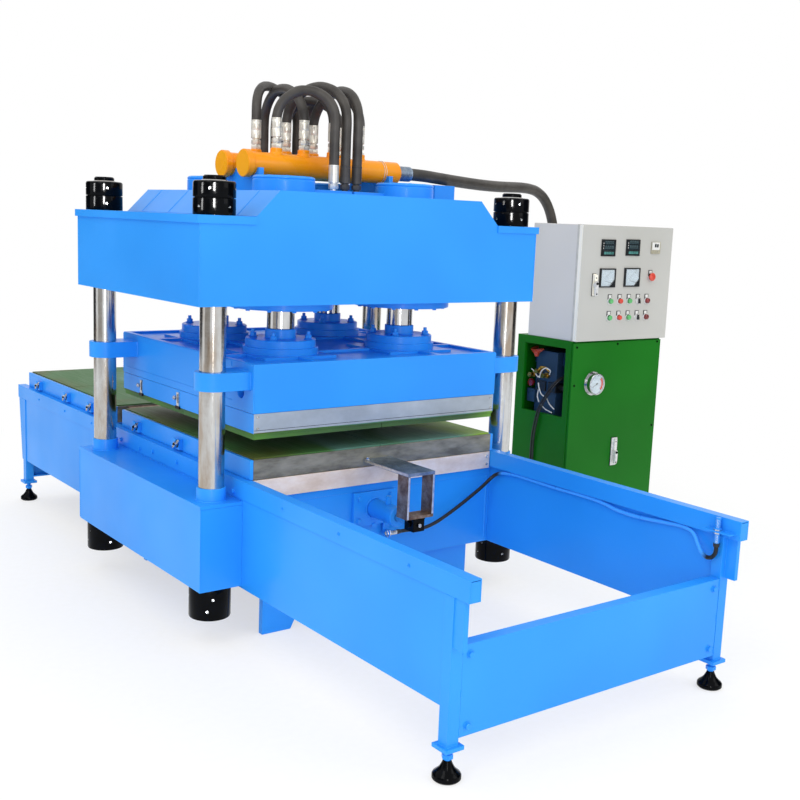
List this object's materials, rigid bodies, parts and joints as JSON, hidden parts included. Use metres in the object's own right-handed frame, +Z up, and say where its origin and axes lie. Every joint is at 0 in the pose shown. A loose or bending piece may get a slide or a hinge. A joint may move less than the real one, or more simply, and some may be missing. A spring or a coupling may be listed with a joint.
{
  "type": "rubber tile vulcanizing press",
  "caption": "Four column hydraulic hot press for rubber tiles, with a sliding pair of mould tables on a long bed and a control cabinet beside it.",
  "frame": {"origin": "on the floor, midway between the four columns", "axes": "+X along the bed to its loading end, +Y from the press to the cabinets, +Z up"},
  "size_m": [3.573, 2.94, 2.0297],
  "materials": {
    "blue_paint": "sprayed gloss machine enamel",
    "green_paint": "sprayed satin machine enamel",
    "orange_paint": "sprayed gloss enamel",
    "grey_enamel": "powder coat, fine orange peel",
    "black_oxide": "gloss black lacquer",
    "ground_steel": "ground and oiled",
    "raw_steel": "mill scale with wear",
    "heating_plate": "milled",
    "table_steel": "planed, oily",
    "mould_sheet": "green coated sheet",
    "zinc_fitting": "zinc plated",
    "hose_rubber": "wrapped rubber cover",
    "cable_sheath": "PVC sheath",
    "black_plastic": "moulded",
    "red_plastic": "moulded",
    "green_plastic": "moulded",
    "white_plastic": "moulded and printed plates",
    "clear_glass": "clear window",
    "brass": "turned"
  },
  "bodies": {
    "frame": {"upper_beam": "blue_paint", "base_block_near": "blue_paint", "base_block_far": "blue_paint", "lower_beam": "blue_paint", "bed_rail_near": "blue_paint", "bed_rail_far": "blue_paint", "bed_bar_front": "blue_paint", "bed_bar_back": "blue_paint", "lower_heating_plate": "heating_plate", "push_cylinder": "blue_paint", "manifold_front": "orange_paint", "manifold_back": "orange_paint", "main_hose": "hose_rubber", "sensor_cable": "cable_sheath", "control_box": "grey_enamel", "power_cabinet": "green_paint", "pump_unit": "blue_paint", "column_1": "ground_steel", "column_2": "ground_steel", "column_3": "ground_steel", "column_4": "ground_steel", "cylinder_barrel_1": "blue_paint", "cylinder_barrel_2": "blue_paint", "cylinder_barrel_3": "blue_paint", "cylinder_barrel_4": "blue_paint", "hose_1": "hose_rubber", "hose_2": "hose_rubber", "hose_3": "hose_rubber", "hose_4": "hose_rubber", "hose_5": "hose_rubber", "hose_6": "hose_rubber", "hose_7": "hose_rubber", "hose_8": "hose_rubber"},
    "platen": {"upper_platen": "blue_paint", "upper_heating_plate": "heating_plate", "piston_rod_1": "ground_steel", "piston_rod_2": "ground_steel", "piston_rod_3": "ground_steel", "piston_rod_4": "ground_steel"},
    "shuttle": {"mould_table_near": "table_steel", "mould_table_far": "table_steel", "pull_bracket": "raw_steel", "push_rod": "ground_steel"},
    "control_door": {"control_door": "grey_enamel"},
    "control_door_handle": {"control_door_handle": "black_plastic"},
    "power_door": {"power_door": "green_paint"},
    "power_door_handle": {"power_door_handle": "black_plastic"},
    "emergency_stop": {"emergency_stop": "red_plastic"},
    "push_button_1": {"push_button_1": "green_plastic"},
    "push_button_2": {"push_button_2": "red_plastic"},
    "push_button_3": {"push_button_3": "green_plastic"},
    "push_button_4": {"push_button_4": "green_plastic"},
    "push_button_5": {"push_button_5": "red_plastic"},
    "push_button_6": {"push_button_6": "green_plastic"},
    "selector_1": {"selector_1": "black_plastic"},
    "selector_2": {"selector_2": "black_plastic"},
    "levelling_foot_1": {"levelling_foot_1": "black_plastic"},
    "levelling_foot_2": {"levelling_foot_2": "black_plastic"},
    "levelling_foot_3": {"levelling_foot_3": "black_plastic"},
    "levelling_foot_4": {"levelling_foot_4": "black_plastic"}
  },
  "joints": [
    {"name": "platen_slide", "type": "slide", "parent": "frame", "child": "platen", "axis": [0, 0, 1], "range_m": [-0.0655, 0.06]},
    {"name": "table_shuttle", "type": "slide", "parent": "frame", "child": "shuttle", "axis": [1, 0, 0], "range_m": [0, 1.182]},
    {"name": "control_door_hinge", "type": "hinge", "parent": "frame", "child": "control_door", "pos_m": [0.0593, 2.18, 1.2282], "axis": [0, 0, 1], "range_deg": [0, 110]},
    {"name": "power_door_hinge", "type": "hinge", "parent": "frame", "child": "power_door", "pos_m": [0.0483, 2.16, 0.472], "axis": [0, 0, 1], "range_deg": [0, 110]},
    {"name": "control_door_latch", "type": "hinge", "parent": "control_door", "child": "control_door_handle", "pos_m": [0.07, 1.61294, 1.22247], "axis": [1, 0, 0], "range_deg": [0, 90]},
    {"name": "power_door_latch", "type": "hinge", "parent": "power_door", "child": "power_door_handle", "pos_m": [0.061, 1.85186, 0.356], "axis": [1, 0, 0], "range_deg": [0, 90]},
    {"name": "emergency_stop_push", "type": "slide", "parent": "control_door", "child": "emergency_stop", "axis": [-1, 0, 0], "range_m": [0, 0.005], "stiffness_N_per_m": 900},
    {"name": "push_button_1_press", "type": "slide", "parent": "control_door", "child": "push_button_1", "axis": [-1, 0, 0], "range_m": [0, 0.004], "stiffness_N_per_m": 600},
    {"name": "push_button_2_press", "type": "slide", "parent": "control_door", "child": "push_button_2", "axis": [-1, 0, 0], "range_m": [0, 0.004], "stiffness_N_per_m": 600},
    {"name": "push_button_3_press", "type": "slide", "parent": "control_door", "child": "push_button_3", "axis": [-1, 0, 0], "range_m": [0, 0.004], "stiffness_N_per_m": 600},
    {"name": "selector_1_turn", "type": "hinge", "parent": "control_door", "child": "selector_1", "pos_m": [0.07, 1.94428, 1.14129], "axis": [1, 0, 0], "range_deg": [-45, 45]},
    {"name": "push_button_4_press", "type": "slide", "parent": "control_door", "child": "push_button_4", "axis": [-1, 0, 0], "range_m": [0, 0.004], "stiffness_N_per_m": 600},
    {"name": "push_button_5_press", "type": "slide", "parent": "control_door", "child": "push_button_5", "axis": [-1, 0, 0], "range_m": [0, 0.004], "stiffness_N_per_m": 600},
    {"name": "push_button_6_press", "type": "slide", "parent": "control_door", "child": "push_button_6", "axis": [-1, 0, 0], "range_m": [0, 0.004], "stiffness_N_per_m": 600},
    {"name": "selector_2_turn", "type": "hinge", "parent": "control_door", "child": "selector_2", "pos_m": [0.07, 1.94428, 1.05841], "axis": [1, 0, 0], "range_deg": [-45, 45]},
    {"name": "levelling_foot_1_screw", "type": "hinge", "parent": "frame", "child": "levelling_foot_1", "pos_m": [1.68, -0.568, 0.05], "axis": [0, 0, 1], "continuous": true},
    {"name": "levelling_foot_2_screw", "type": "hinge", "parent": "frame", "child": "levelling_foot_2", "pos_m": [1.68, 0.568, 0.05], "axis": [0, 0, 1], "continuous": true},
    {"name": "levelling_foot_3_screw", "type": "hinge", "parent": "frame", "child": "levelling_foot_3", "pos_m": [-1.731, -0.568, 0.05], "axis": [0, 0, 1], "continuous": true},
    {"name": "levelling_foot_4_screw", "type": "hinge", "parent": "frame", "child": "levelling_foot_4", "pos_m": [-1.731, 0.568, 0.05], "axis": [0, 0, 1], "continuous": true}
  ]
}
